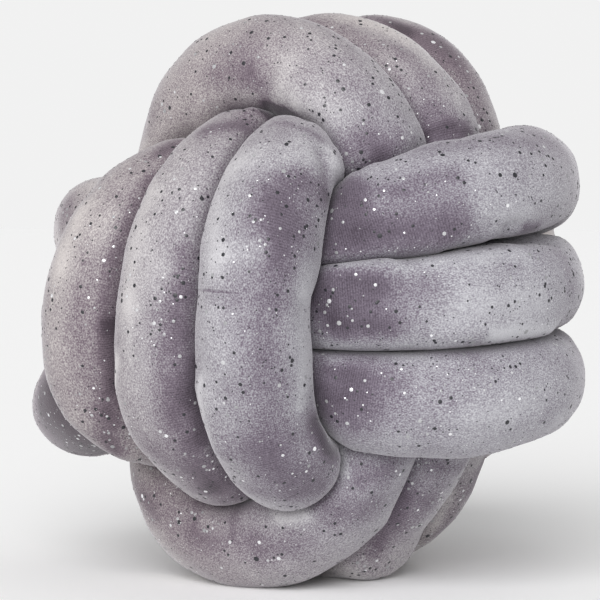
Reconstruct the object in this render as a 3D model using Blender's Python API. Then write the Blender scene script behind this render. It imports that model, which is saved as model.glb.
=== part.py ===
"""Knot cushion: one long stuffed velvet tube wound into a ball of three sets of three turns.

The arches are wound first: they go over the top and under the bottom, from side to side. The belts lie
level round the left and right sides and pass over the arches there. The uprights lie at the front and at
the back and pass over the belts there and under the arches at the top and the bottom. The end of the last
upright comes back through the middle of the ball to the start of the first arch, where the two ends of
the tube are sewn together, so that the tube is one closed ring.

Metres, +Z up. The origin is on the floor, under the middle of the ball. The front is at -Y.
"""

import math
from collections import namedtuple

import bmesh
import bpy
import numpy as np
from mathutils.bvhtree import BVHTree

TUBE = 0.054  # diameter of the stuffed tube; every other length here is in tube diameters

FREE_RADIUS = 0.52  # of the tube where nothing presses on it
BEND_FILL = 0.75  # share of a bend's own radius that the tube may fill on its inside
INWARD_SWELL = 0.45  # how much further the soft tube bulges towards the middle of the ball
CLEARANCE = 0.028  # left between two stretches of the tube that press on each other
PARTING_ROUNDS = 40  # of drawing in what still touches there
PARTING_SHRINK = 0.97  # of a radius in each round
FLOOR_PRESS = 0.06  # how much of the lowest turns is pressed flat

SIDES = 14  # of a section of the tube
STATIONS_PER_DIAMETER = 3.65  # sections along the tube
CURVE_POINTS_PER_DIAMETER = 16  # along its middle line
BEND_REACH = 1.2  # stretches nearer than this along the tube are the same bend and don't press
TURN_STEP = 30  # degrees between the points that set the route of a turn

# A set lies round two axes of the ball. Its turns reach out along the first, where they show, pass under
# another set along the second, and are stacked along the third. The first turn starts at the start angle.
# The tube moves on by one place in the stack around the change angle, over the change spread on each side.
Winding = namedtuple("Winding", "long short stack start way first change spread squareness lean")
WINDINGS = {
    "arch": Winding(2, 0, 1, start=-90, way=1, first=0, change=-90, spread=60, squareness=2.2, lean=0.06),
    "belt": Winding(0, 1, 2, start=90, way=-1, first=2, change=125, spread=100, squareness=2.3, lean=0.0),
    "upright": Winding(1, 2, 0, start=0, way=1, first=0, change=-70, spread=60, squareness=2.5, lean=0.0),
}

# One row for each turn of a set, in the order of its place in the stack. Plus is the side of the ball
# towards the positive end of an axis and minus the other: top and bottom, right and left, back and front.
# The place is the turn's distance from the middle along the stack, its reach is its distance along the
# long axis, and its depth the same along the short axis. The sways tilt it on the two sides.
Turn = namedtuple(
    "Turn",
    "place_plus place_minus place_under reach_plus reach_minus depth_plus depth_minus sway_plus sway_minus",
)
TURNS = {
    "arch": (
        Turn(-0.90, -0.90, -0.62, 2.09, 2.10, 1.35, 1.02, 0.00, 0.00),
        Turn(0.00, 0.00, 0.00, 2.16, 2.12, 1.51, 1.25, 0.00, 0.00),
        Turn(0.90, 0.90, 0.62, 2.21, 2.10, 1.21, 1.30, 0.00, 0.00),
    ),
    "belt": (
        Turn(-0.74, -1.07, -0.60, 2.20, 2.42, 1.32, 1.32, 0.09, 0.00),
        Turn(0.14, -0.18, 0.03, 2.17, 2.25, 1.38, 1.38, 0.07, 0.00),
        Turn(1.05, 0.68, 0.56, 2.13, 2.12, 1.32, 1.32, 0.10, 0.00),
    ),
    "upright": (
        Turn(-0.84, -0.82, -0.46, 2.05, 2.05, 1.15, 1.15, 0.00, 0.14),
        Turn(0.04, 0.06, 0.03, 2.12, 2.12, 1.42, 1.50, 0.00, 0.11),
        Turn(0.89, 0.87, 0.60, 2.12, 2.12, 1.42, 1.48, 0.00, 0.04),
    ),
}

# How many degrees of each set are wound, from where the tube has joined it to where it leaves it.
WOUND = {"arch": (30, 990), "belt": (30, 990), "upright": (60, 960)}

# Where the tube crosses from one set to the next, out of sight: x, y and z from the middle of the ball.
ARCH_TO_BELT = ((-1.05, 0.88, -1.45), (-1.08, 0.78, -0.50), (-0.92, 0.85, 0.30), (-0.30, 1.22, 0.66))
BELT_TO_UPRIGHT = ((-1.98, 0.75, -1.02), (-1.52, 1.58, -0.85), (-1.08, 2.00, -0.10))
UPRIGHT_TO_ARCH = (
    (0.60, -1.02, -1.28),
    (0.55, -0.05, -0.85),
    (0.45, 0.55, -0.30),
    (0.00, 0.30, 0.15),
    (-0.30, -0.35, -0.05),
    (-0.72, -0.78, 0.30),
)

VELVET = (0.37, 0.345, 0.37, 1.0)
VELVET_ROUGHNESS = 0.9


def ease(share):
    """Rise smoothly from 0 to 1 as the share does."""
    share = min(max(share, 0.0), 1.0)
    return share * share * (3.0 - 2.0 * share)


def stack_position(winding, wound):
    """Return the place in the stack, from 0 to 2, after so many degrees of winding."""
    to_change = (winding.change - winding.start) * winding.way % 360
    changes = [to_change + 360 * turn for turn in range(3) if to_change + 360 * turn > 0]
    moved = sum(ease((wound - change + winding.spread) / (2 * winding.spread)) for change in changes)
    moved = min(moved, 2.0)
    return moved if winding.first == 0 else 2.0 - moved


def turn_at(name, position):
    """Blend the rows of the two turns on either side of a position in the stack."""
    rows = np.array(TURNS[name])
    lower = min(int(position), 1)
    return Turn(*(rows[lower] + (rows[lower + 1] - rows[lower]) * (position - lower)))


def winding_point(name, wound):
    """Return the point of a set's route after so many degrees, on a rounded oblong round the ball."""
    winding = WINDINGS[name]
    turn = turn_at(name, stack_position(winding, wound))
    angle = math.radians(winding.start + winding.way * wound)
    out, across = math.cos(angle), math.sin(angle)
    reach = turn.reach_plus if out > 0 else turn.reach_minus
    depth = turn.depth_plus if across > 0 else turn.depth_minus
    place = turn.place_plus if out > 0 else turn.place_minus
    power = 2.0 / winding.squareness
    point = [0.0, 0.0, 0.0]
    point[winding.long] = reach * math.copysign(abs(out) ** power, out)
    point[winding.short] = depth * math.copysign(abs(across) ** power, across)
    point[winding.short] += winding.lean * point[winding.long]
    point[winding.stack] = place + (turn.place_under - place) * abs(across) ** 3
    sway = turn.sway_plus * max(out, 0.0) + turn.sway_minus * max(-out, 0.0)
    point[winding.stack] += 2.0 * sway * across
    return tuple(point)


def set_points(name):
    """Return the points of all three turns of a set."""
    first, last = WOUND[name]
    return [winding_point(name, wound) for wound in range(first, last + 1, TURN_STEP)]


def route_points():
    """Return the points that the middle of the tube passes through, once round the whole ring."""
    points = [*set_points("arch"), *ARCH_TO_BELT]
    points += [*set_points("belt"), *BELT_TO_UPRIGHT]
    points += [*set_points("upright"), *UPRIGHT_TO_ARCH]
    return np.array(points)


def smooth_ring(points, parts=16):
    """Draw the closed cubic spline through the points, each span cut into so many parts."""
    count = len(points)
    span = np.linalg.norm(np.roll(points, -1, axis=0) - points, axis=1)
    bending = np.zeros((count, count))
    pull = np.zeros((count, 3))
    for here in range(count):
        before, after = here - 1, (here + 1) % count
        bending[here, before] += span[before]
        bending[here, here] += 2.0 * (span[before] + span[here])
        bending[here, after] += span[here]
        rise = (points[after] - points[here]) / span[here]
        pull[here] = 6.0 * (rise - (points[here] - points[before]) / span[before])
    curvature = np.linalg.solve(bending, pull)
    there = np.linspace(0.0, 1.0, parts, endpoint=False)[None, :, None]
    here = 1.0 - there
    weight = span[:, None, None] ** 2 / 6.0
    curve = here * points[:, None] + there * np.roll(points, -1, axis=0)[:, None]
    curve += (here**3 - here) * curvature[:, None] * weight
    curve += (there**3 - there) * np.roll(curvature, -1, axis=0)[:, None] * weight
    return curve.reshape(-1, 3)


def even_stations(curve, count_per_diameter):
    """Return points at even distances along a closed curve, and that distance."""
    closed = np.vstack([curve, curve[:1]])
    length = np.concatenate([[0.0], np.cumsum(np.linalg.norm(np.diff(closed, axis=0), axis=1))])
    count = round(length[-1] * count_per_diameter)
    wanted = np.linspace(0.0, length[-1], count, endpoint=False)
    stations = np.stack([np.interp(wanted, length, closed[:, axis]) for axis in range(3)], axis=1)
    return stations, length[-1] / count


def side_directions(stations):
    """Return the directions of the sides of each section, turned as little as can be along the ring."""
    along = np.roll(stations, -1, axis=0) - np.roll(stations, 1, axis=0)
    along /= np.linalg.norm(along, axis=1)[:, None]
    count = len(stations)
    first = np.zeros_like(along)
    start = np.cross(along[0], (0.0, 0.0, 1.0))
    for station in range(count + 1):
        here = along[station % count]
        start = start - here * np.dot(start, here)
        start /= np.linalg.norm(start)
        if station < count:
            first[station] = start
    twist = math.atan2(np.dot(np.cross(start, first[0]), along[0]), np.dot(start, first[0]))
    second = np.cross(along, first)
    turned = np.arange(count)[:, None] / count * twist
    angle = turned + np.arange(SIDES)[None, :] / SIDES * math.tau
    return first[:, None] * np.cos(angle)[:, :, None] + second[:, None] * np.sin(angle)[:, :, None]


def skin_radii(curve, stations, spacing, sides):
    """Return how far each side of each section swells before another stretch of the tube stops it.

    A side swells to its free radius, or less on the inside of a tight bend, or to where it is as near to
    the middle line of another stretch as to its own, less half the clearance. That place is found by
    halving.
    """
    count = len(stations)
    outward = stations / np.linalg.norm(stations, axis=1)[:, None]
    inward = np.clip(-np.einsum("ijk,ik->ij", sides, outward), 0.0, 1.0)
    free = FREE_RADIUS * (1.0 + INWARD_SWELL * inward**2)
    bend = (np.roll(stations, -1, axis=0) + np.roll(stations, 1, axis=0) - 2.0 * stations) / spacing**2
    free = np.minimum(free, BEND_FILL / np.maximum(np.einsum("ijk,ik->ij", sides, bend), 0.1))
    curve_place = np.arange(len(curve)) / len(curve) * count
    radii = np.zeros_like(free)
    for station in range(count):
        apart = np.abs(curve_place - station)
        apart = np.minimum(apart, count - apart) * spacing
        near = np.linalg.norm(curve - stations[station], axis=1) < 2.0 * free.max() + CLEARANCE
        others = curve[near & (apart > BEND_REACH)]
        low, high = np.zeros(SIDES), free[station].copy()
        for _ in range(10):
            middle = (low + high) / 2.0
            skin = stations[station] + sides[station] * middle[:, None]
            gap = np.linalg.norm(skin[:, None] - others[None], axis=2).min(axis=1, initial=9.0)
            fits = gap - middle > CLEARANCE / 2.0
            low, high = np.where(fits, middle, low), np.where(fits, high, middle)
        radii[station] = low
    return radii


def section_faces(count):
    """Return the triangles between neighbouring sections, as corners of the grid of section points."""
    section, side = np.meshgrid(np.arange(count), np.arange(SIDES), indexing="ij")
    following, after = (section + 1) % count, (side + 1) % SIDES
    corners = [section * SIDES + side, section * SIDES + after, following * SIDES + after]
    first = np.stack(corners, axis=-1).reshape(-1, 3)
    corners = [section * SIDES + side, following * SIDES + after, following * SIDES + side]
    return np.concatenate([first, np.stack(corners, axis=-1).reshape(-1, 3)])


def part_pressed_skins(stations, sides, radii):
    """Draw in the corners of faces that still cut through a face of another stretch, until none does."""
    faces = section_faces(len(stations))
    for _ in range(PARTING_ROUNDS):
        points = (stations[:, None] + sides * radii[:, :, None]).reshape(-1, 3)
        tree = BVHTree.FromPolygons(points.tolist(), faces.tolist())
        pairs = np.array(tree.overlap(tree), dtype=int).reshape(-1, 2)
        shared = (faces[pairs[:, 0]][:, :, None] == faces[pairs[:, 1]][:, None, :]).any(axis=(1, 2))
        cutting = np.unique(faces[pairs[~shared].ravel()])
        if not len(cutting):
            break
        flat = radii.reshape(-1)
        flat[cutting] *= PARTING_SHRINK
    return radii


def make_velvet():
    """Return the velvet of the tube."""
    material = bpy.data.materials.new("velvet")
    material.use_nodes = True
    shader = material.node_tree.nodes["Principled BSDF"]
    shader.inputs["Base Color"].default_value = VELVET
    shader.inputs["Roughness"].default_value = VELVET_ROUGHNESS
    material.diffuse_color = VELVET
    return material


def tube_mesh(points):
    """Join the sections into one closed ring and press it flat on the floor."""
    mesh = bmesh.new()
    sections = [[mesh.verts.new(point) for point in section] for section in points]
    for section, following in zip(sections, sections[1:] + sections[:1]):
        for side in range(SIDES):
            after = (side + 1) % SIDES
            mesh.faces.new((section[side], section[after], following[after], following[side]))
    everything = mesh.verts[:] + mesh.edges[:] + mesh.faces[:]
    bmesh.ops.bisect_plane(
        mesh, geom=everything, dist=1e-6, plane_co=(0, 0, 0), plane_no=(0, 0, -1), clear_outer=True
    )
    rims = [edge for edge in mesh.edges if edge.is_boundary]
    bmesh.ops.holes_fill(mesh, edges=rims, sides=0)
    bmesh.ops.recalc_face_normals(mesh, faces=mesh.faces)
    return mesh


def make_knot():
    """Model the whole knotted tube."""
    curve, _ = even_stations(smooth_ring(route_points()), CURVE_POINTS_PER_DIAMETER)
    stations, spacing = even_stations(curve, STATIONS_PER_DIAMETER)
    sides = side_directions(stations)
    radii = part_pressed_skins(stations, sides, skin_radii(curve, stations, spacing, sides))
    points = stations[:, None] + sides * radii[:, :, None]
    low, high = points.min(axis=(0, 1)), points.max(axis=(0, 1))
    middle = (low + high) / 2.0
    floor = low[2] + FLOOR_PRESS
    points = (points - (middle[0], middle[1], floor)) * TUBE
    mesh = tube_mesh(points)
    data = bpy.data.meshes.new("knot_tube")
    mesh.to_mesh(data)
    mesh.free()
    data.shade_smooth()
    data.set_sharp_from_angle(angle=math.radians(50))
    data.materials.append(make_velvet())
    bpy.context.scene.collection.objects.link(bpy.data.objects.new("knot_tube", data))


for leftover in list(bpy.data.objects):
    bpy.data.objects.remove(leftover, do_unlink=True)
make_knot()
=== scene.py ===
"""Knot cushion: the velvet of its stuffed tube and the foil dots on it, as a Blender add-on.

One long stuffed tube is wound into a ball of three sets of three turns: arches over the top and under the
bottom, belts round the left and right, and uprights at the front and at the back. Each turn of a set lies
beside the next one and presses flat against it. Metres, +Z up, with the origin on the floor under the ball
and the front at -Y.
"""

import math
from collections import namedtuple

import bpy
import numpy as np
from bpy.props import FloatProperty, FloatVectorProperty, IntProperty, PointerProperty
from bpy.types import Operator, Panel, PropertyGroup
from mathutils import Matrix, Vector


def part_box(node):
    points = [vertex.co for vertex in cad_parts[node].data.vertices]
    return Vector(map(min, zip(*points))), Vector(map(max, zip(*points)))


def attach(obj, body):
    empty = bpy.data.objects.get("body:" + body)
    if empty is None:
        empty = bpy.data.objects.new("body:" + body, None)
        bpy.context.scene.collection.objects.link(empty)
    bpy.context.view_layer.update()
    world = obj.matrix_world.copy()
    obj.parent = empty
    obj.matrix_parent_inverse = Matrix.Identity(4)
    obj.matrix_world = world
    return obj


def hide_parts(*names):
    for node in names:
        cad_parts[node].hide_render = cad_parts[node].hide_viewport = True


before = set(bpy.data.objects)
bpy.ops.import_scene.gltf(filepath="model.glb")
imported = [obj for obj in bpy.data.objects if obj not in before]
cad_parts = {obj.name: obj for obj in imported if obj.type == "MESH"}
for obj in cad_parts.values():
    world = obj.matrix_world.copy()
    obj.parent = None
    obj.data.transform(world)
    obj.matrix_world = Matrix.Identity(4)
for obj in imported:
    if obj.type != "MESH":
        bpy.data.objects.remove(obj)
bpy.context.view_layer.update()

bl_info = {
    "name": "Knot cushion",
    "version": (1, 0, 0),
    "blender": (4, 5, 0),
    "location": "View3D > Sidebar > Knot cushion",
    "description": "Dresses the knotted tube with velvet and foil dots, on a plain stage",
    "category": "Object",
}

# ---------------------------------------------------------------------------------------------------------
# The route of the tube. Lengths are in tube diameters, from the middle of the ball.

TURN_STEP = 30  # degrees between the points that set the route of a turn
SPLINE_PARTS = 64  # short pieces that each span between two route points is drawn with

# A set lies round two axes of the ball. Its turns reach out along the first, where they show, pass under
# another set along the second, and are stacked along the third. The first turn starts at the start angle.
# The tube moves on by one place in the stack around the change angle, over the change spread on each side.
Winding = namedtuple("Winding", "long short stack start way first change spread squareness lean")
WINDINGS = {
    "arch": Winding(2, 0, 1, start=-90, way=1, first=0, change=-90, spread=60, squareness=2.2, lean=0.06),
    "belt": Winding(0, 1, 2, start=90, way=-1, first=2, change=125, spread=100, squareness=2.3, lean=0.0),
    "upright": Winding(1, 2, 0, start=0, way=1, first=0, change=-70, spread=60, squareness=2.5, lean=0.0),
}

# One row for each turn of a set, in the order of its place in the stack. Plus is the side of the ball
# towards the positive end of an axis and minus the other: top and bottom, right and left, back and front.
# The place is the turn's distance from the middle along the stack, its reach is its distance along the
# long axis, and its depth the same along the short axis. The sways tilt it on the two sides.
Turn = namedtuple(
    "Turn",
    "place_plus place_minus place_under reach_plus reach_minus depth_plus depth_minus sway_plus sway_minus",
)
TURNS = {
    "arch": (
        Turn(-0.90, -0.90, -0.62, 2.09, 2.10, 1.35, 1.06, 0.00, 0.00),
        Turn(0.00, 0.00, 0.00, 2.16, 2.12, 1.51, 1.25, 0.00, 0.00),
        Turn(0.90, 0.90, 0.62, 2.21, 2.10, 1.21, 1.30, 0.00, 0.00),
    ),
    "belt": (
        Turn(-0.74, -1.07, -0.60, 2.20, 2.42, 1.32, 1.32, 0.09, 0.00),
        Turn(0.14, -0.18, 0.03, 2.17, 2.25, 1.38, 1.38, 0.07, 0.00),
        Turn(1.05, 0.68, 0.56, 2.13, 2.12, 1.32, 1.32, 0.10, 0.00),
    ),
    "upright": (
        Turn(-0.84, -0.82, -0.40, 2.05, 2.05, 1.15, 1.15, 0.00, 0.14),
        Turn(0.06, 0.08, 0.10, 2.12, 2.12, 1.41, 1.50, 0.00, 0.11),
        Turn(0.92, 0.90, 0.62, 2.12, 2.12, 1.37, 1.48, 0.00, 0.04),
    ),
}

# How many degrees of each set are wound, from where the tube has joined it to where it leaves it.
WOUND = {"arch": (30, 990), "belt": (30, 990), "upright": (60, 960)}

# Where the tube crosses from one set to the next, out of sight: x, y and z from the middle of the ball.
ARCH_TO_BELT = ((-1.05, 0.88, -1.45), (-1.08, 0.78, -0.50), (-0.92, 0.85, 0.30), (-0.30, 1.22, 0.66))
BELT_TO_UPRIGHT = ((-1.98, 0.75, -1.02), (-1.52, 1.58, -0.85), (-1.08, 2.00, -0.10))
UPRIGHT_TO_ARCH = (
    (0.60, -1.02, -1.28),
    (0.55, -0.05, -0.85),
    (0.45, 0.55, -0.30),
    (0.00, 0.30, 0.15),
    (-0.30, -0.35, -0.05),
    (-0.72, -0.78, 0.30),
)

# ---------------------------------------------------------------------------------------------------------
# The skin of the tube, in tube diameters.

FREE_RADIUS = 0.52  # where nothing presses on the tube
BEND_FILL = 0.75  # share of a bend's own radius that the tube may fill on its inside
INWARD_SWELL = 0.45  # how much further the soft tube bulges towards the middle of the ball
BEND_REACH = 1.2  # stretches nearer than this along the tube are the same bend and don't press
PRESS_STEP = 4  # every so many points of the drawn route are tested for pressing
LEAST_BEND = 0.1  # flatter bends than this leave the skin free
PRESS_GAP = 0.008  # left between two stretches that press on each other
PRESS_ROUNDING = 0.035  # how softly the free skin turns into the pressed skin
LEAST_FACING = 0.05  # a side that faces the other stretch less than this isn't pressed by it
UNPRESSED = 9.0  # a reach past anything, for sides that nothing presses
OPEN_ROOM = 0.25  # room past the free skin that makes a side fully open
FLOOR_PRESS = 0.06  # how much of the lowest turns is pressed flat
SHOWN_FROM = 1.45  # distance from the middle of the ball at which the tube starts to show
SHOWN_FULLY = 1.75
SHOWN_DENSITY = 3.5  # how much closer the sections stand where the tube shows
FRAME_GUIDE = (0.36, 0.48, 0.80)  # any direction that the tube hardly runs along
WAVE_COUNT = 9  # waves in a soft unevenness
WAVE_SIZES = (0.7, 1.4)  # the smallest and the largest of them, as shares of the size asked for
WAVE_HEIGHT = 1.4  # what their sum is divided by, to stay between about -1 and 1


def ease(share):
    """Rise smoothly from 0 to 1 as the share does: 3 s^2 - 2 s^3, with s held between 0 and 1."""
    share = np.clip(share, 0.0, 1.0)
    return share * share * (3.0 - 2.0 * share)


def unit(vectors):
    """Return vectors of length 1."""
    return vectors / np.linalg.norm(vectors, axis=-1, keepdims=True)


def direction(azimuth, height):
    """Return the unit vector at an azimuth, from the front to the right, and a height angle, in degrees."""
    turn, rise = math.radians(azimuth), math.radians(height)
    return np.array((math.sin(turn) * math.cos(rise), -math.cos(turn) * math.cos(rise), math.sin(rise)))


def stack_positions(winding, wound):
    """Return the places in the stack, from 0 to 2: one eased step at each change angle."""
    to_change = (winding.change - winding.start) * winding.way % 360
    changes = to_change + 360 * np.arange(3)
    changes = changes[changes > 0]
    steps = ease((wound[:, None] - changes + winding.spread) / (2 * winding.spread))
    moved = np.minimum(steps.sum(axis=1), 2.0)
    return moved if winding.first == 0 else 2.0 - moved


def set_points(name):
    """Return the route points of a set: a superellipse round the ball, |x/a|^n + |y/b|^n = 1, whose reach a,
    depth b and place across it blend from each turn to the next."""
    winding = WINDINGS[name]
    first, last = WOUND[name]
    wound = np.arange(first, last + 1, TURN_STEP, dtype=float)
    position = stack_positions(winding, wound)
    rows = np.array(TURNS[name])
    turn = Turn(*(np.interp(position, range(3), rows[:, column]) for column in range(rows.shape[1])))
    angle = np.radians(winding.start + winding.way * wound)
    out, across = np.cos(angle), np.sin(angle)
    reach = np.where(out > 0, turn.reach_plus, turn.reach_minus)
    depth = np.where(across > 0, turn.depth_plus, turn.depth_minus)
    place = np.where(out > 0, turn.place_plus, turn.place_minus)
    power = 2.0 / winding.squareness
    points = np.zeros((len(wound), 3))
    points[:, winding.long] = reach * np.sign(out) * np.abs(out) ** power
    points[:, winding.short] = depth * np.sign(across) * np.abs(across) ** power
    points[:, winding.short] += winding.lean * points[:, winding.long]
    points[:, winding.stack] = place + (turn.place_under - place) * np.abs(across) ** 3
    sway = turn.sway_plus * np.maximum(out, 0.0) + turn.sway_minus * np.maximum(-out, 0.0)
    points[:, winding.stack] += 2.0 * sway * across
    return points


def route_points():
    """Return the points that the middle of the tube passes through, once round the whole ring."""
    links = {"arch": ARCH_TO_BELT, "belt": BELT_TO_UPRIGHT, "upright": UPRIGHT_TO_ARCH}
    return np.concatenate([part for name, link in links.items() for part in (set_points(name), link)])


def smooth_ring(points):
    """Draw the closed cubic spline through the points, whose slope and bending run on at each of them."""
    count = len(points)
    here = np.arange(count)
    after = (here + 1) % count
    span = np.linalg.norm(points[after] - points, axis=1)
    before = np.roll(span, 1)
    slope = (points[after] - points) / span[:, None]
    bending = np.zeros((count, count))
    bending[here, here] = 2.0 * (before + span)
    bending[here, here - 1] = before
    bending[here, after] = span
    curvature = np.linalg.solve(bending, 6.0 * (slope - np.roll(slope, 1, axis=0)))
    share = np.linspace(0.0, 1.0, SPLINE_PARTS, endpoint=False)[None, :, None]
    rest = 1.0 - share
    weight = span[:, None, None] ** 2 / 6.0
    curve = rest * points[:, None] + share * points[after][:, None]
    curve += (rest**3 - rest) * curvature[:, None] * weight
    curve += (share**3 - share) * curvature[after][:, None] * weight
    return curve.reshape(-1, 3)


def ring_stations(curve, count, density):
    """Return so many points round a closed curve and how far along it each is. The spacing is the inverse
    of the density at each point: even steps of the density's running total along the curve."""
    closed = np.vstack([curve, curve[:1]])
    step = np.linalg.norm(np.diff(closed, axis=0), axis=1)
    length = np.concatenate([[0.0], np.cumsum(step)])
    total = np.concatenate([[0.0], np.cumsum(step * density)])
    along = np.interp(np.linspace(0.0, total[-1], count, endpoint=False), total, length)
    stations = np.stack([np.interp(along, length, closed[:, axis]) for axis in range(3)], axis=1)
    return stations, along, length[-1]


def ring_frames(stations, along, length):
    """Return two directions across the tube at each station, turned as little as can be from one to the
    next: any frame, turned back by the running total of its own twist, which is then closed evenly."""
    heading = unit(np.roll(stations, -1, axis=0) - np.roll(stations, 1, axis=0))
    across = unit(np.cross(heading, FRAME_GUIDE))
    carried = np.roll(across, 1, axis=0)
    carried = unit(carried - heading * np.sum(carried * heading, axis=1, keepdims=True))
    turned = np.sum(np.cross(carried, across) * heading, axis=1)
    twist = np.arctan2(turned, np.sum(carried * across, axis=1))
    running = np.cumsum(twist)
    leftover = (running[-1] + math.pi) % math.tau - math.pi
    angle = (leftover * along / length - running)[:, None]
    second = np.cross(heading, across)
    first = across * np.cos(angle) + second * np.sin(angle)
    return heading, first, np.cross(heading, first)


def side_directions(first, second, sides):
    """Return the direction of each side of each section: cos(angle) first + sin(angle) second."""
    angle = np.arange(sides) / sides * math.tau
    return first[:, None] * np.cos(angle)[:, None] + second[:, None] * np.sin(angle)[:, None]


def free_radii(curve, step, stations, along, sides):
    """Return how far skin stands where nothing presses on it. It is round, fuller towards the middle of the
    ball by the square of how far a side faces there, and on the inside of a bend it stops short of the
    middle of the bend, which is one over the bending away."""
    inward = np.clip(-np.sum(sides * unit(stations)[:, None], axis=2), 0.0, 1.0)
    free = FREE_RADIUS * (1.0 + INWARD_SWELL * inward**2)
    heading = unit(np.roll(curve, -1, axis=0) - np.roll(curve, 1, axis=0))
    bend = (np.roll(heading, -1, axis=0) - np.roll(heading, 1, axis=0)) / (2.0 * step[:, None])
    curve_along = np.concatenate([[0.0], np.cumsum(step[:-1])])
    bend = np.stack([np.interp(along, curve_along, bend[:, axis]) for axis in range(3)], axis=1)
    return np.minimum(free, BEND_FILL / np.maximum(np.sum(sides * bend[:, None], axis=2), LEAST_BEND))


def pressed_radii(curve, step, stations, along, length, sides, furthest):
    """Return how far skin stands where another stretch presses on it: midway between the two. A point at
    distance r along the unit side u is as near to another middle point at w from the station as to its own
    when r = (w.w - g^2) / (2 (u.w + g)), with g half the gap."""
    curve_along = np.concatenate([[0.0], np.cumsum(step[:-1])])
    apart = np.abs(along[:, None] - curve_along[None])
    apart = np.minimum(apart, length - apart)
    distance = np.linalg.norm(stations[:, None] - curve[None], axis=2)
    station, other = np.nonzero((apart > BEND_REACH) & (distance < 2.0 * furthest))
    way = curve[other] - stations[station]
    half_gap = PRESS_GAP / 2.0
    facing = np.einsum("pki,pi->pk", sides[station], way) + half_gap
    square = np.sum(way * way, axis=1) - half_gap**2
    reach = square[:, None] / (2.0 * np.maximum(facing, LEAST_FACING))
    reach = np.where(facing > LEAST_FACING, reach, UNPRESSED)
    starts = np.flatnonzero(np.diff(station, prepend=-1))
    pressed = np.full(sides.shape[:2], UNPRESSED)
    pressed[station[starts]] = np.minimum.reduceat(reach, starts, axis=0)
    return pressed


def skin_radii(curve, stations, along, length, sides):
    """Return how far the skin is from the middle of the tube on each side of each section, and how open
    each side is, from 0 where it is pressed to 1. The skin is the smaller of the free and the pressed
    radius, less s b^2 for softness, with b = 1 - (larger - smaller) / (4 s)."""
    step = np.linalg.norm(np.roll(curve, -1, axis=0) - curve, axis=1)
    free = free_radii(curve, step, stations, along, sides)
    pressed = pressed_radii(curve, step, stations, along, length, sides, free.max())
    difference = np.abs(pressed - free)
    blend = np.clip(1.0 - difference / (4.0 * PRESS_ROUNDING), 0.0, 1.0)
    radii = np.minimum(free, pressed) - PRESS_ROUNDING * blend**2
    return radii, np.clip((pressed - free) / OPEN_ROOM, 0.0, 1.0)


def ring_faces(stations, sides):
    """Return the four corners of each face of a grid that closes on itself both ways."""
    station, side = np.meshgrid(np.arange(stations), np.arange(sides), indexing="ij")
    following, after = (station + 1) % stations, (side + 1) % sides
    corners = [station * sides + side, station * sides + after]
    corners += [following * sides + after, following * sides + side]
    return np.stack(corners, axis=-1).reshape(-1, 4)


def mesh_object(name, points, faces, material, smooth=True):
    """Make one mesh object from arrays of points and of faces with the same number of corners."""
    mesh = bpy.data.meshes.new(name)
    corners = faces.shape[1]
    mesh.vertices.add(len(points))
    mesh.vertices.foreach_set("co", np.ascontiguousarray(points, dtype=np.float32).ravel())
    mesh.loops.add(faces.size)
    mesh.loops.foreach_set("vertex_index", faces.astype(np.int32).ravel())
    mesh.polygons.add(len(faces))
    mesh.polygons.foreach_set("loop_start", np.arange(len(faces), dtype=np.int32) * corners)
    mesh.update(calc_edges=True)
    mesh.validate()
    mesh.polygons.foreach_set("use_smooth", np.full(len(faces), smooth))
    mesh.materials.append(material)
    piece = bpy.data.objects.new(name, mesh)
    bpy.context.scene.collection.objects.link(piece)
    return piece


def add_values(piece, name, kind, values):
    """Keep a number or a vector for each point of a piece, for its material to read."""
    key = "value" if kind == "FLOAT" else "vector"
    attribute = piece.data.attributes.new(name, kind, "POINT")
    attribute.data.foreach_set(key, np.ascontiguousarray(values, dtype=np.float32).ravel())


def waves(points, size, seed):
    """Return soft unevenness between about -1 and 1: the sum of sin(k.p + phase) over waves k of about the
    given size, in seeded directions."""
    rng = np.random.default_rng(seed)
    ways = unit(rng.normal(size=(WAVE_COUNT, 3))) * math.tau
    ways = ways / (size * rng.uniform(*WAVE_SIZES, (WAVE_COUNT, 1)))
    phases = rng.uniform(0.0, math.tau, WAVE_COUNT)
    return np.sin(points @ ways.T + phases).sum(axis=-1) / math.sqrt(WAVE_COUNT) / WAVE_HEIGHT


# ---------------------------------------------------------------------------------------------------------
# The materials. Sizes are in metres. The tone of the nap runs from 0, deepest, to 1, palest.

CLOUD_SIZE = 0.022  # soft patches of the nap, and how much they change its tone
CLOUD_TONE = 0.38
MOTTLE_SIZE = 0.005  # small blotches
MOTTLE_TONE = 0.12
MOTTLE_RELIEF = 0.4
GRAIN_SIZE = 0.0006  # tufts of the pile
GRAIN_TONE = 0.4
STANDING_GRAIN_TONE = 0.45  # more grain where the pile stands up
STANDING_TONES = (0.15, 0.45, 0.95, 0.65)  # none, full, none and full again
LEANING_TONES = (0.20, 0.60)  # where the pile leans fully, and where it no longer does
RIB_PITCH = 0.00095  # between the fine ribs of the velvet's ground
RIB_TONE = 0.06
RIB_RELIEF = 0.15
RIB_WANDER = 3.0  # how far the ribs stray from even, in radians
RIB_WANDER_SIZE = 0.004
SEAM_PLACE = (5.2653, 0.0235, 0.0130)  # of the fine seam across the tube, along it and across it
SEAM_REACH = (0.0007, 0.0125, 0.0125)  # how far the seam shows each way
SEAM_EDGES = (1.2, 0.5)  # in reaches from its place: where the seam starts to show, and where it is full
SEAM_TONE = 0.25
SEAM_RELIEF = 1.5
PILE_DEPTH = 0.0003
PILE_STRENGTH = 0.5
VELVET_ROUGHNESS = 0.85
VELVET_SHEEN = 0.5
VELVET_SHEEN_ROUGHNESS = 0.4
NAP_STOPS = (0.0, 0.33, 0.66, 1.0)  # the tones of the four colours of the nap, deepest first
FOIL_METAL = 0.6
FOIL_ROUGHNESS = 0.38
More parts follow.
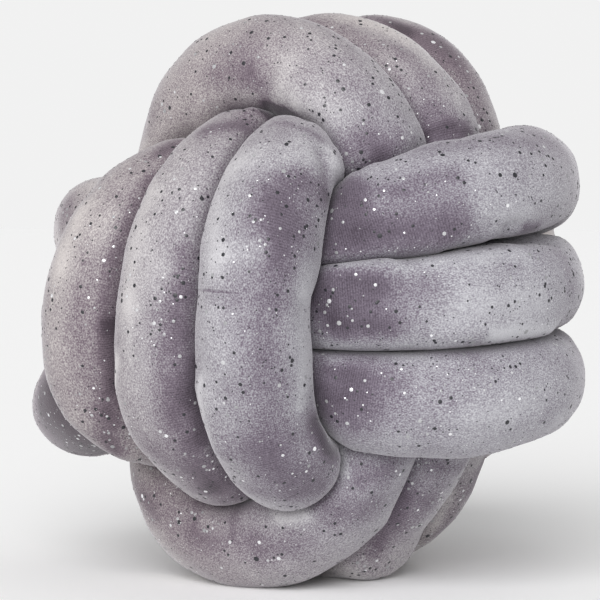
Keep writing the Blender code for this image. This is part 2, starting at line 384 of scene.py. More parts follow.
SILVER_SMOOTHER = 0.1  # how much smoother a silver dot is than a dark one


class Flow:
    """One output of a shader node, so that sums on it read as an expression."""

    def __init__(self, finish, socket):
        self.finish = finish
        self.socket = socket

    def maths(self, operation, first, second):
        """Add a Math node for one operation."""
        return self.finish.add("ShaderNodeMath", {"operation": operation}, {0: first, 1: second})

    def __add__(self, other):
        return self.maths("ADD", self, other)

    def __sub__(self, other):
        return self.maths("SUBTRACT", self, other)

    def __rsub__(self, other):
        return self.maths("SUBTRACT", other, self)

    def __mul__(self, other):
        return self.maths("MULTIPLY", self, other)

    def sine(self):
        """Return the sine of the flow."""
        return self.maths("SINE", self, 0.0)

    __radd__ = __add__
    __rmul__ = __mul__


class Finish:
    """A material and the nodes that make it."""

    def __init__(self, name):
        self.material = bpy.data.materials.new(name)
        self.material.use_nodes = True
        self.tree = self.material.node_tree
        self.shader = self.tree.nodes["Principled BSDF"]

    def add(self, kind, settings=None, sockets=None, output=0):
        """Add a node with its settings and then the values or links of its sockets."""
        node = self.tree.nodes.new(kind)
        for name, value in (settings or {}).items():
            if name == "stops":
                ramp = node.color_ramp
                for number, (place, colour) in enumerate(value):
                    stop = ramp.elements[number] if number < 2 else ramp.elements.new(place)
                    stop.position = place
                    stop.color = (*colour, 1.0)
            else:
                setattr(node, name, value)
        for name, value in (sockets or {}).items():
            self.feed(node.inputs[name], value)
        return Flow(self, node.outputs[output])

    def feed(self, socket, value):
        """Link a flow into a socket, or set the socket's own value."""
        if isinstance(value, Flow):
            self.tree.links.new(value.socket, socket)
        else:
            socket.default_value = value

    def set(self, **values):
        """Feed the sockets of the material's own shader, whose names have spaces for underscores."""
        for name, value in values.items():
            self.feed(self.shader.inputs[name.replace("_", " ")], value)

    def mix(self, factor, first, second, blend="MIX"):
        """Mix two colours."""
        settings = {"data_type": "RGBA", "blend_type": blend}
        return self.add("ShaderNodeMix", settings, {0: factor, 6: first, 7: second}, output=2)

    def noise(self, place, size, detail=2.0):
        """Return noise between 0 and 1 whose features are about the given size in metres."""
        sockets = {"Vector": place, "Scale": 1.0 / size, "Detail": detail, "Roughness": 0.5}
        return self.add("ShaderNodeTexNoise", {"noise_dimensions": "3D"}, sockets)

    def spread(self, flow, low, high):
        """Return 0 where a flow is at the low value and 1 at the high one, eased between."""
        settings = {"interpolation_type": "SMOOTHSTEP"}
        return self.add("ShaderNodeMapRange", settings, {"Value": flow, "From Min": low, "From Max": high})

    def value(self, name, output="Fac"):
        """Read what a piece keeps for each of its points."""
        return self.add("ShaderNodeAttribute", {"attribute_name": name}, output=output)


def opaque(colour):
    """Return a colour with its alpha."""
    return (*colour, 1.0)


def seam_distance(finish, lie):
    """Return how far a place on the tube is from the seam, in reaches of the seam each way."""
    from_seam = finish.add("ShaderNodeVectorMath", {"operation": "SUBTRACT"}, {0: lie, 1: SEAM_PLACE})
    reaches = finish.add("ShaderNodeVectorMath", {"operation": "DIVIDE"}, {0: from_seam, 1: SEAM_REACH})
    return finish.add("ShaderNodeVectorMath", {"operation": "LENGTH"}, {0: reaches}, output="Value")


def velvet_finish(looks):
    """Short crushed velvet: a cool pale nap that turns dark mauve where it leans away. The pile shows as
    grain where it stands up, between the two, and as fine ribs round the tube where it leans away. The
    nap's tone also carries painted shade and painted light."""
    finish = Finish("velvet")
    lie = finish.value("lie", output="Vector")
    nap_and_shade = finish.value("nap_and_shade")
    clouds = finish.noise(lie, CLOUD_SIZE)
    mottle = finish.noise(lie, MOTTLE_SIZE, detail=1.0)
    grain = finish.noise(lie, GRAIN_SIZE, detail=0.0)
    seam = finish.spread(seam_distance(finish, lie), *SEAM_EDGES)
    tone = nap_and_shade + (clouds - 0.5) * CLOUD_TONE + (mottle - 0.5) * MOTTLE_TONE - seam * SEAM_TONE
    rising, risen, falling, fallen = STANDING_TONES
    standing = finish.spread(tone, rising, risen) * finish.spread(tone, falling, fallen)
    leaning = 1.0 - finish.spread(tone, *LEANING_TONES)
    along = finish.add("ShaderNodeSeparateXYZ", None, {0: lie})
    wander = finish.noise(lie, RIB_WANDER_SIZE, detail=1.0) * RIB_WANDER
    ribs = (along * (math.tau / RIB_PITCH) + wander).sine()
    pile = (grain - 0.5) * (GRAIN_TONE + standing * STANDING_GRAIN_TONE) + ribs * leaning * RIB_TONE
    stops = tuple(zip(NAP_STOPS, (looks.deep_nap, looks.dark_nap, looks.mid_nap, looks.pale_nap)))
    dye = finish.add("ShaderNodeValToRGB", {"stops": stops}, {"Fac": tone + pile})
    cast = finish.mix(finish.value("warmth"), opaque(looks.cool_cast), opaque(looks.warm_cast))
    colour = finish.mix(1.0, dye, cast, blend="MULTIPLY")
    relief = grain + ribs * RIB_RELIEF + mottle * MOTTLE_RELIEF - seam * SEAM_RELIEF
    sockets = {"Strength": PILE_STRENGTH, "Distance": PILE_DEPTH, "Height": relief}
    bump = finish.add("ShaderNodeBump", None, sockets)
    finish.set(Base_Color=colour, Roughness=VELVET_ROUGHNESS, Normal=bump)
    finish.set(Sheen_Weight=VELVET_SHEEN, Sheen_Roughness=VELVET_SHEEN_ROUGHNESS)
    finish.set(Sheen_Tint=opaque(looks.sheen))
    return finish.material


def foil_finish(looks):
    """Thin pressed foil with painted reflection: each dot's painted glint makes it bright silver or
    near-black.
    """
    finish = Finish("foil")
    painted_glint = finish.value("painted_glint")
    colour = finish.mix(painted_glint, opaque(looks.dark_foil), opaque(looks.silver_foil))
    finish.set(Base_Color=colour, Metallic=painted_glint * FOIL_METAL)
    finish.set(Roughness=FOIL_ROUGHNESS - painted_glint * SILVER_SMOOTHER)
    return finish.material


# ---------------------------------------------------------------------------------------------------------
# The tube.

# The stretches of the tube that show, each by the direction of a place near its middle: an azimuth from the
# front to the right and a height angle, in degrees, as seen from the middle of the ball.
STRETCHES = {
    "first arch": (24, 60),
    "second arch": (76, 62),
    "third arch": (116, 62),
    "first upright": (-20, 0),
    "middle upright": (0, 0),
    "last upright": (22, 0),
    "top belt": (65, 22),
    "middle belt": (65, 2),
    "bottom belt": (65, -18),
    "top belt at the left": (-54, 20),
    "bottom belt at the left": (-54, -27),
    "first arch below": (20, -56),
    "second arch below": (80, -54),
    "third arch below": (130, -54),
}
STRETCH_REACH = 3.0  # how far along the tube a stretch goes each way, in tube diameters

# A soft stroke on the skin of a stretch, from one direction to another. Its half width is in tube
# diameters. The amount is a depth in tube diameters for a crease, less than 0 for a ridge, or a change in
# the tone of the nap, which holds the nap's own patches and also painted shade and painted light. The
# rows of the tables have these columns.
Stroke = namedtuple("Stroke", "azimuth height to_azimuth to_height width amount")
CREASES = {
    "first upright": (
        (-25, -16, -24, -20, 0.20, -0.04),
        (-24, -24, -23, -34, 0.20, -0.06),
    ),
    "first arch below": (
        (72, -60, 58, -76, 0.30, -0.15),
    ),
    "first arch": (
        (20, 52, 22, 55, 0.10, 0.03),
        (-10, 50, 9, 53, 0.20, -0.05),
        (32, 47, 40, 42, 0.16, -0.04),
        (41, 40, 45, 36, 0.10, -0.08),
        (58, 43, 67, 44, 0.05, 0.02),
    ),
    "middle upright": (
        (14, 50, 19, 53, 0.08, -0.05),
        (-10, 30, -15, 45, 0.13, 0.05),
        (-7, -18, -8, -28, 0.20, -0.04),
        (-22, -40, -14, -52, 0.20, -0.05),
        (11, 7, 10, -12, 0.12, -0.03),
    ),
    "last upright": (
        (21, 51, 34, 46, 0.12, 0.04),
        (34, 42, 42, 39, 0.10, 0.03),
        (14, 34, 18, 46, 0.12, 0.04),
        (40, 34, 43, 32, 0.06, -0.04),
        (38, 33, 39, 28, 0.05, 0.04),
        (36, 2, 37, -24, 0.12, 0.03),
        (12, 8, 14, -11, 0.12, 0.03),
        (15, -15, 17, -27, 0.12, -0.05),
        (14, 3, 23, 3, 0.04, 0.01),
    ),
    "top belt": (
        (51, 31, 50, 21, 0.07, -0.03),
        (48, 30, 48, 22, 0.07, 0.02),
        (40, 13, 64, 13, 0.10, -0.03),
        (78, 15, 107, 16, 0.05, 0.06),
        (71, 39, 80, 34, 0.08, 0.03),
    ),
    "middle belt": (
        (40, 7, 52, 8, 0.14, -0.10),
        (85, 14, 96, 13, 0.05, 0.04),
        (64, -5, 90, -4, 0.12, -0.05),
    ),
    "second arch": (
        (68, 77, 84, 65, 0.14, 0.04),
    ),
    "second arch below": (
        (126, -65, 71, -72, 0.25, -0.15),
    ),
    "bottom belt": (
        (65, -9, 97, -6, 0.12, -0.03),
    ),
    "third arch below": (
        (120, -52, 133, -64, 0.20, -0.05),
    ),
}
# The nap's own pale and dark patches, and with them painted shade, such as shadows beside the grooves, under
# overlapping stretches and on shaded ends, and painted light, such as pale rims along edges.
NAP_AND_SHADE_STROKES = {
    "first arch": (
        (-1, 57, 3, 62, 0.16, -0.10),
        (14, 64, 14, 56, 0.16, -0.14),
        (15, 54, 19, 52, 0.08, -0.20),
        (24, 64, 26, 58, 0.06, -0.08),
        (11, 54, 0, 54, 0.12, -0.12),
        (-16, 49, -27, 47, 0.10, -0.04),
        (29, 54, 26, 50, 0.07, 0.16),
        (-1, 52, 14, 52, 0.07, 0.32),
        (27, 54, 40, 44, 0.14, 0.14),
        (49, 38, 53, 35, 0.14, -0.34),
        (52, 44, 53, 40, 0.10, -0.10),
        (30, 48, 39, 42, 0.06, 0.30),
        (53, 36, 59, 38, 0.08, -0.12),
        (27, 56, 30, 53, 0.10, -0.08),
        (76, 60, 76, 59, 0.10, -0.08),
        (-36, 54, -28, 59, 0.10, -0.06),
        (57, 36, 64, 38, 0.10, -0.06),
    ),
    "second arch": (
        (68, 74, 82, 63, 0.14, -0.18),
        (67, 69, 71, 66, 0.08, -0.20),
        (79, 64, 82, 55, 0.12, -0.26),
        (78, 51, 78, 48, 0.10, -0.16),
        (76, 43, 88, 41, 0.10, -0.50),
        (78, 47, 83, 46, 0.12, -0.20),
        (117, 59, 89, 48, 0.07, 0.10),
    ),
    "third arch": (
        (140, 71, 118, 53, 0.14, -0.10),
        (168, 75, 134, 70, 0.07, -0.45),
        (89, 72, 86, 66, 0.05, -0.30),
        (116, 48, 115, 44, 0.12, -0.16),
    ),
    "last upright": (
        (20, 28, 38, 31, 0.17, 0.27),
        (35, -16, 37, -27, 0.06, -0.10),
        (14, -13, 15, -25, 0.05, 0.30),
        (27, 30, 33, 31, 0.10, -0.12),
        (31, -3, 31, -8, 0.12, 0.12),
        (30, -25, 33, -27, 0.12, -0.10),
        (27, 26, 29, 23, 0.09, 0.14),
        (26, 13, 26, 9, 0.08, 0.14),
        (34, 3, 36, 3, 0.08, 0.20),
        (14, 29, 18, 8, 0.15, 0.24),
        (20, 10, 27, 10, 0.08, 0.22),
        (17, 0, 16, -16, 0.16, 0.08),
        (18, 2, 23, 2, 0.08, -0.12),
        (30, 23, 29, 11, 0.22, -0.40),
        (33, 17, 33, 14, 0.12, -0.12),
        (29, 8, 29, 4, 0.16, -0.14),
        (28, 0, 28, -24, 0.20, -0.22),
        (22, -27, 35, -34, 0.20, -0.24),
        (21, -37, 38, -39, 0.10, -0.20),
        (35, 8, 34, -18, 0.09, 0.26),
        (39, 34, 42, 31, 0.06, 0.20),
        (38, 33, 39, 28, 0.05, -0.35),
        (34, 25, 38, 22, 0.12, -0.26),
        (38, 26, 39, 23, 0.05, -0.40),
        (28, -31, 38, -41, 0.20, -0.10),
        (26, 41, 38, 37, 0.06, -0.28),
        (18, 47, 35, 45, 0.06, -0.30),
        (39, -28, 42, -34, 0.06, -0.40),
        (29, 37, 29, 34, 0.08, -0.12),
        (37, -23, 40, -30, 0.08, -0.55),
    ),
    "middle upright": (
        (0, 22, -1, 2, 0.16, 0.26),
        (-1, 0, -1, -8, 0.12, 0.16),
        (9, 4, 6, -22, 0.12, -0.16),
        (-1, -30, 8, -41, 0.18, -0.24),
        (6, -8, 6, -22, 0.14, -0.18),
        (7, -28, 7, -43, 0.12, -0.28),
        (-7, 51, 14, 47, 0.12, -0.20),
        (10, 11, 9, -18, 0.08, -0.26),
        (11, -10, 9, -28, 0.05, -0.30),
        (-27, -47, 10, -48, 0.12, -0.24),
        (-23, -40, 4, -43, 0.10, -0.24),
        (6, 40, 14, 43, 0.12, -0.40),
        (-9, 24, -9, 30, 0.06, -0.22),
        (-9, 31, -12, 41, 0.06, -0.28),
        (7, -2, 8, -4, 0.14, -0.16),
        (3, 13, 5, 6, 0.12, 0.14),
        (-6, -10, -17, -30, 0.06, 0.45),
    ),
    "first upright": (
        (-20, 19, -20, 9, 0.18, 0.22),
        (-13, 14, -12, 19, 0.10, 0.16),
        (-20, 7, -20, -3, 0.10, 0.08),
        (-10, 12, -11, -4, 0.06, -0.30),
        (-14, 10, -16, -16, 0.09, -0.12),
        (-15, -19, -17, -26, 0.05, -0.25),
        (-11, -4, -14, -18, 0.06, -0.40),
        (-17, -4, -16, -7, 0.12, -0.10),
        (-9, 15, -9, 30, 0.05, -0.25),
        (-13, 37, -14, 42, 0.10, -0.40),
        (-13, 1, -18, -19, 0.12, -0.08),
        (-17, -22, -22, -32, 0.09, -0.30),
        (-21, -27, -22, -31, 0.12, -0.15),
    ),
    "top belt at the left": (
        (-52, 21, -53, 17, 0.15, -0.25),
    ),
    "bottom belt at the left": (
        (-55, -25, -62, -38, 0.50, -0.85),
        (-25, -19, -24, -23, 0.08, 0.25),
    ),
    "top belt": (
        (44, 25, 41, 15, 0.22, -0.34),
        (47, 16, 62, 16, 0.20, -0.38),
        (50, 29, 50, 22, 0.06, 0.14),
        (51, 24, 65, 25, 0.12, -0.24),
        (43, 30, 47, 27, 0.10, -0.16),
        (64, 33, 99, 29, 0.12, -0.16),
        (42, 25, 46, 22, 0.08, -0.14),
        (54, 23, 57, 22, 0.08, -0.10),
        (67, 19, 68, 17, 0.08, -0.12),
        (84, 15, 88, 15, 0.04, -0.40),
        (71, 39, 80, 33, 0.05, -0.30),
        (80, 31, 86, 30, 0.10, -0.14),
        (57, 22, 62, 21, 0.10, -0.04),
        (65, 15, 70, 15, 0.08, -0.20),
        (70, 22, 91, 22, 0.20, 0.06),
        (70, 17, 80, 17, 0.12, 0.16),
        (41, 12, 54, 12, 0.05, 0.08),
    ),
    "middle belt": (
        (39, 4, 48, 2, 0.24, -0.36),
        (41, -3, 52, -4, 0.14, -0.36),
        (40, 8, 54, 9, 0.06, 0.14),
        (49, 6, 57, 3, 0.12, -0.18),
        (41, 7, 46, 6, 0.08, -0.14),
        (39, 0, 42, -6, 0.12, -0.20),
        (61, 10, 81, 11, 0.10, 0.20),
        (67, 1, 81, 1, 0.24, 0.18),
        (59, 6, 62, 3, 0.12, -0.12),
        (40, -9, 64, -7, 0.06, 0.20),
        (73, -5, 91, -4, 0.07, 0.36),
        (43, 9, 48, 9, 0.06, 0.16),
        (95, 10, 96, 4, 0.12, -0.24),
    ),
    "bottom belt": (
        (39, -20, 45, -18, 0.24, -0.45),
        (48, -13, 53, -15, 0.14, -0.20),
        (62, -16, 65, -19, 0.14, -0.12),
        (75, -20, 83, -18, 0.14, 0.10),
        (40, -12, 92, -7, 0.06, 0.14),
        (40, -25, 46, -25, 0.12, -0.14),
        (40, -12, 61, -10, 0.05, 0.18),
        (40, -13, 43, -13, 0.10, -0.22),
        (85, -13, 98, -20, 0.15, 0.08),
        (70, -11, 79, -12, 0.12, -0.04),
        (67, -19, 78, -17, 0.20, 0.16),
        (53, -27, 92, -21, 0.10, 0.14),
    ),
    "first arch below": (
        (24, -51, 34, -49, 0.05, 0.40),
        (13, -57, 17, -59, 0.12, -0.12),
        (48, -40, 58, -39, 0.14, -0.26),
        (43, -35, 45, -40, 0.07, 0.55),
        (42, -48, 55, -47, 0.14, -0.22),
        (-24, -50, -17, -54, 0.16, -0.10),
        (-11, -55, 5, -55, 0.10, -0.28),
        (8, -55, 12, -55, 0.12, -0.10),
        (18, -56, 32, -55, 0.14, -0.20),
        (-8, -54, 3, -55, 0.05, 0.20),
        (73, -51, 62, -71, 0.11, 0.42),
        (-42, -45, -31, -50, 0.08, -0.22),
    ),
    "second arch below": (
        (74, -52, 73, -66, 0.10, -0.35),
        (78, -42, 92, -41, 0.10, -0.25),
        (85, -47, 82, -56, 0.10, -0.12),
        (67, -74, 154, -70, 0.12, 0.26),
        (76, -57, 92, -64, 0.10, -0.12),
        (75, -49, 86, -52, 0.10, -0.14),
    ),
    "third arch below": (
        (115, -53, 126, -62, 0.07, 0.40),
        (127, -42, 125, -48, 0.14, -0.50),
        (132, -62, 129, -57, 0.08, -0.20),
    ),
}
# Painted shade in the hollows between stretches: strokes that darken the nap's tone and show only inside the
# rim.
HOLLOW_SHADE_STROKES = {
    "first arch": (
        (20.5, 51.5, 27, 50, 0.07, -1.40),
        (27, 50, 31, 48, 0.06, -1.20),
    ),
    "middle upright": (
        (17, 53, 29, 49, 0.09, -1.20),
    ),
}
HOLLOW_RIM = 2.32  # tube diameters from the middle of the ball at which a hollow starts
HOLLOW_EDGE = 0.06  # further in, where it shows fully
BALL_RADIUS = 2.6  # tube diameters from the middle of the ball to its outside
# Painted shade along the grooves where stretches press together.
GROOVE_SHADE = 0.12  # how much darker the nap is where stretches press together
NAP_TONE = 0.62  # tone of the nap where no stroke changes it
COOL_MIDDLE = (62, -6)  # the side of the ball where the velvet's colour is coolest, as azimuth and height
COOL_REACH = 0.95  # cosine of the angle from there at which the colour starts to warm
STUFFING_LUMPS = ((0.75, 0.6, 3), (0.33, 0.3, 4))  # size in tube diameters, share and seed of each
PRESSED_LUMPS = 0.25  # share of them that is left where stretches press together
FAR_CLOUDS = (1.1, 0.28, 7)  # size, tone and seed of the nap's patches on the sides away from the camera
FAR_EDGE = 1.6  # how sharply they start past the side of the ball
LEAST_LINE = 1e-9  # keeps a stroke of no length from dividing by nothing


def stroke_sum(skin, along, length, table):
    """Add up the strokes of all stretches: each falls off from its line as exp(-(distance / width)^2), and
    fades where its own stretch ends."""
    outward = np.linalg.norm(skin, axis=-1)
    ways = skin / outward[..., None]
    total = np.zeros(outward.shape)
    for name, strokes in table.items():
        off = BALL_RADIUS * np.linalg.norm(ways - direction(*STRETCHES[name]), axis=-1)
        station = np.argmin(off - outward) // outward.shape[1]
        apart = np.abs(along - along[station])
        own = ease((STRETCH_REACH - np.minimum(apart, length - apart)) * 2.0)
        for stroke in map(Stroke._make, strokes):
            start = direction(stroke.azimuth, stroke.height)
            line = direction(stroke.to_azimuth, stroke.to_height) - start
            share = np.clip((ways - start) @ line / max(line @ line, LEAST_LINE), 0.0, 1.0)
            distance = BALL_RADIUS * np.linalg.norm(ways - start - share[..., None] * line, axis=-1)
            total += stroke.amount * own[:, None] * np.exp(-((distance / stroke.width) ** 2))
    return total


def stuffing(skin, openness):
    """Return how lumpy the stuffing leaves the skin: soft waves of two sizes, mostly lost where it is
    pressed, as share + (1 - share) openness."""
    uneven = sum(waves(skin, size, seed) * share for size, share, seed in STUFFING_LUMPS)
    return uneven * (PRESSED_LUMPS + (1.0 - PRESSED_LUMPS) * openness)


def stroked_nap_and_shade(skin, along, length):
    """Return the tone of the nap from its strokes, which paint shade and light as well, and, inside the rim,
    from the painted shade of the hollows.
    """
    hollow_shade_share = ease((HOLLOW_RIM - np.linalg.norm(skin, axis=-1)) / HOLLOW_EDGE)
    nap_and_shade = NAP_TONE + stroke_sum(skin, along, length, NAP_AND_SHADE_STROKES)
    return nap_and_shade + hollow_shade_share * stroke_sum(skin, along, length, HOLLOW_SHADE_STROKES)


def even_nap_and_groove_shade(skin, openness):
    """Return what is added to the nap: soft waves on the far sides, minus a painted shade in the grooves,
    which is the square of how far the skin isn't open."""
    size, tone, seed = FAR_CLOUDS
    elsewhere = 1.0 - ease(unit(skin) @ direction(CAMERA_AZIMUTH, 0.0) * FAR_EDGE)
    return tone * waves(skin, size, seed) * elsewhere - GROOVE_SHADE * (1.0 - openness) ** 2


def cloth_places(along, sides):
    """Return each point's place in the straight tube: how far along it, and where across a round tube."""
    angle = np.arange(sides) / sides * math.tau
    lie = np.empty((len(along), sides, 3))
    lie[..., 0] = along[:, None]
    lie[..., 1] = 0.5 * np.cos(angle)
    lie[..., 2] = 0.5 * np.sin(angle)
    return lie.reshape(-1, 3)


def make_tube(looks):
    """Dress the tube: its skin stands at station + radius x side round the route, pressed where stretches
    meet, uneven and creased, over the middle of its solid and pressed flat where it rests."""
    curve = smooth_ring(route_points())
    shown = ease((np.linalg.norm(curve, axis=1) - SHOWN_FROM) / (SHOWN_FULLY - SHOWN_FROM))
    stations, along, length = ring_stations(curve, looks.sections, 1.0 + (SHOWN_DENSITY - 1.0) * shown)
    heading, first, second = ring_frames(stations, along, length)
    sides = side_directions(first, second, looks.sides)
    radii, openness = skin_radii(curve[::PRESS_STEP], stations, along, length, sides)
    skin = stations[:, None] + sides * radii[:, :, None]
    radii += looks.unevenness / looks.tube * stuffing(skin, openness)
    radii -= stroke_sum(skin, along, length, CREASES)
    # The nap's tone holds its own patches and also painted shade and painted light from the strokes, the
    # hollows and the grooves.
    nap_and_shade = stroked_nap_and_shade(skin, along, length)
    skin = stations[:, None] + sides * radii[:, :, None]
    nap_and_shade += even_nap_and_groove_shade(skin, openness)
    warmth = ease((COOL_REACH - unit(skin) @ direction(*COOL_MIDDLE)) / COOL_REACH)
    box_low, box_high = (np.array(corner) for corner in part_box("knot_tube"))
    low, high = skin.min(axis=(0, 1)) * looks.tube, skin.max(axis=(0, 1)) * looks.tube
    shift = (box_low + box_high - low - high) / 2.0
    shift[2] = -low[2] - FLOOR_PRESS * looks.tube
    points = skin.reshape(-1, 3) * looks.tube + shift
    points[:, 2] = np.maximum(points[:, 2], 0.0)
    faces = ring_faces(looks.sections, looks.sides)
    piece = mesh_object("velvet_tube", points, faces, velvet_finish(looks))
    add_values(piece, "nap_and_shade", "FLOAT", nap_and_shade)
    add_values(piece, "warmth", "FLOAT", warmth)
    add_values(piece, "lie", "FLOAT_VECTOR", cloth_places(along, looks.sides) * looks.tube)
    piece["middle"] = list(shift)
    return piece


class KnotLooks(PropertyGroup):
    """Sizes and colours of the dressed knot."""

    tube: FloatProperty(
        name="Tube", description="Diameter of the stuffed tube", default=0.054, min=0.02, unit="LENGTH"
    )
    sections: IntProperty(
        name="Sections", description="Rings of points along the tube", default=1240, min=200
    )
    sides: IntProperty(name="Sides", description="Points in each ring", default=80, min=12)
    unevenness: FloatProperty(
        name="Unevenness", description="How lumpy the stuffing is", default=0.0009, unit="LENGTH"
    )
    dots: IntProperty(name="Dots", description="How many foil dots there are", default=16200, min=3)
    dot: FloatProperty(
        name="Dot", description="Usual diameter of a foil dot", default=0.0010, min=0.0002, unit="LENGTH"
    )
    backdrop: FloatVectorProperty(
        name="Backdrop", description="Floor and surroundings", default=(0.98, 0.98, 0.98), subtype="COLOR"
    )
    surround_light: FloatProperty(
        name="Surround light", description="How bright the even light from all round is", default=0.48
    )
    key_light: FloatProperty(name="Key light", description="How bright the window light is", default=3.1)
    pale_nap: FloatVectorProperty(
        name="Pale nap", description="Velvet that leans to the light",
        default=(0.50, 0.48, 0.49), subtype="COLOR",
    )
    mid_nap: FloatVectorProperty(
        name="Middle nap", description="Velvet that stands up",
        default=(0.29, 0.27, 0.29), subtype="COLOR",
    )
    dark_nap: FloatVectorProperty(
        name="Dark nap", description="Velvet that leans away",
        default=(0.14, 0.11, 0.14), subtype="COLOR",
    )
    deep_nap: FloatVectorProperty(
        name="Deep nap", description="Velvet in the deepest folds",
        default=(0.05, 0.035, 0.05), subtype="COLOR",
    )
    cool_cast: FloatVectorProperty(
        name="Cool cast", description="Multiplies the velvet's colour at its coolest",
        default=(0.965, 1.0, 1.035), subtype="COLOR", soft_max=2.0,
    )
    warm_cast: FloatVectorProperty(
        name="Warm cast", description="Multiplies the velvet's colour at its warmest",
        default=(1.04, 1.0, 0.945), subtype="COLOR", soft_max=2.0,
    )
    sheen: FloatVectorProperty(
        name="Sheen", description="Tint of the velvet's edge light",
        default=(0.90, 0.88, 0.92), subtype="COLOR",
    )
    silver_foil: FloatVectorProperty(
        name="Silver foil", description="Dots that catch the light",
        default=(0.95, 0.95, 0.97), subtype="COLOR",
    )
    dark_foil: FloatVectorProperty(
        name="Dark foil", description="Dots that mirror the dark",
        default=(0.02, 0.02, 0.025), subtype="COLOR",
    )


class KNOT_OT_velvet_tube(Operator):
    """Dress the knotted tube with velvet"""

    bl_idname = "knot.velvet_tube"
    bl_label = "Velvet tube"

    def execute(self, context):
        piece = make_tube(context.scene.knot_looks)
        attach(piece, "root")
        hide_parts("knot_tube")
        return {"FINISHED"}


# ---------------------------------------------------------------------------------------------------------
# The foil dots.

DOT_SEED = 11
DOT_SIDES = 6
DOT_CROWN = 0.00018  # metres that a dot's middle stands over the skin
DOT_RIM = 0.00007  # and its rim
DOT_ROOT = 0.00030  # and how deep it reaches into the pile
DOT_SHOWN_FROM = 1.70  # distance from the middle of the ball, in tube diameters
DOT_FLOOR_GAP = 0.0015  # metres above the floor below which there is no dot
DOT_LEAST_TURN = 0.1  # cosine between a dot's way up and the way out of the ball, at the least
DOT_GUIDE = (0.2, 0.3, 0.93)  # any direction that hardly a dot faces
GROUP_SIZE = 3  # dots that lie near each other
GROUP_SPREAD = 1.5  # in steps of the skin's grid
LARGE_SHARE = 0.29
LARGE_DOT = 1.6  # times the usual diameter
SMALL_DOT = 0.70
DOT_SIZE_SPREAD = 0.2  # as a logarithm
# Painted reflection: whether a foil dot looks silver or near-black is painted into its colour, as if it
# caught the light or mirrored the dark.
SILVER_SHARE = 0.36  # of the dots that look silver, at the usual nap and half way up
SILVER_BY_NAP = 0.35  # less of them on pale nap
SILVER_BY_HEIGHT = 0.12  # and less towards the top
DULLEST_SILVER = 0.3


def tube_skin(looks):
    """Return the places, the outward directions and the nap's tone, with its painted shade and light, of the
    skin's points, as grids.
    """
    tube = bpy.data.objects.get("velvet_tube")
    if tube is None:
        raise RuntimeError("The foil dots need the velvet tube first")
    shape = (looks.sections, looks.sides)
    places = np.empty(shape[0] * shape[1] * 3, dtype=np.float32)
    tube.data.vertices.foreach_get("co", places)
    outward = np.empty_like(places)
    tube.data.vertices.foreach_get("normal", outward)
    nap_and_shade = np.empty(shape[0] * shape[1], dtype=np.float32)
    tube.data.attributes["nap_and_shade"].data.foreach_get("value", nap_and_shade)
    middle = np.array(tube["middle"])
    return places.reshape(*shape, 3), outward.reshape(*shape, 3), nap_and_shade.reshape(shape), middle


def grid_value(grid, station, side):
    """Blend a grid that closes on itself both ways at places between its points."""
    low_station, low_side = np.floor(station).astype(int), np.floor(side).astype(int)
    share_station, share_side = station - low_station, side - low_side
    if grid.ndim == 3:
        share_station, share_side = share_station[:, None], share_side[:, None]
    rows, columns = grid.shape[:2]
    near, far = low_station % rows, (low_station + 1) % rows
    left, right = low_side % columns, (low_side + 1) % columns
    before = grid[near, left] * (1.0 - share_side) + grid[near, right] * share_side
    after = grid[far, left] * (1.0 - share_side) + grid[far, right] * share_side
    return before * (1.0 - share_station) + after * share_station


def dot_places(looks, rng, places, outward, middle):
    """Pick grid places for the dots: groups at random over the skin that shows, each dot a little way
    off, and none on the floor."""
    shows = np.linalg.norm(places - middle, axis=2) > DOT_SHOWN_FROM * looks.tube
    shows &= np.sum(outward * unit(places - middle), axis=2) > DOT_LEAST_TURN
    along = np.linalg.norm(np.roll(places, -1, axis=0) - places, axis=2)
    chance = (along * shows).ravel()
    groups = looks.dots // GROUP_SIZE
    station, side = np.divmod(rng.choice(chance.size, size=groups, p=chance / chance.sum()), looks.sides)
    station = np.repeat(station, GROUP_SIZE) + rng.normal(0.0, GROUP_SPREAD, groups * GROUP_SIZE)
    side = np.repeat(side, GROUP_SIZE) + rng.normal(0.0, GROUP_SPREAD, groups * GROUP_SIZE)
    clear = grid_value(places, station, side)[:, 2] > DOT_FLOOR_GAP
    return station[clear], side[clear]


def lenses(rng, place, up, radius):
    """Return the points and faces of closed flat lenses: for each a rim, a crown above and a root below."""
    across = unit(np.cross(up, DOT_GUIDE))
    other = np.cross(up, across)
    turn = rng.random((len(place), 1)) + np.arange(DOT_SIDES) / DOT_SIDES * math.tau
    ring = across[:, None] * np.cos(turn)[..., None] + other[:, None] * np.sin(turn)[..., None]
    rim = place[:, None] + ring * radius[:, None, None] + up[:, None] * DOT_RIM
    crown, root = place + up * DOT_CROWN, place - up * DOT_ROOT
    points = np.concatenate([rim, crown[:, None], root[:, None]], axis=1)
    here = np.arange(DOT_SIDES)
    after = (here + 1) % DOT_SIDES
    top, bottom = np.full_like(here, DOT_SIDES), np.full_like(here, DOT_SIDES + 1)
    pattern = np.concatenate([np.stack((here, after, top), 1), np.stack((after, here, bottom), 1)])
    faces = pattern[None] + (np.arange(len(place)) * points.shape[1])[:, None, None]
    return points, faces


def dot_painted_glint(rng, paleness, height):
    """Return how bright each dot's painted glint is, 0 for the ones painted near-black as if mirroring the
    dark. The chance of a glint is its share, less on pale nap and towards the top, and its brightness is
    least + (1 - least) random^2."""
    chance = SILVER_SHARE - SILVER_BY_NAP * paleness - SILVER_BY_HEIGHT * height
    chosen = rng.random(len(chance)) < chance
    return np.where(chosen, DULLEST_SILVER + (1.0 - DULLEST_SILVER) * rng.random(len(chance)) ** 2, 0.0)


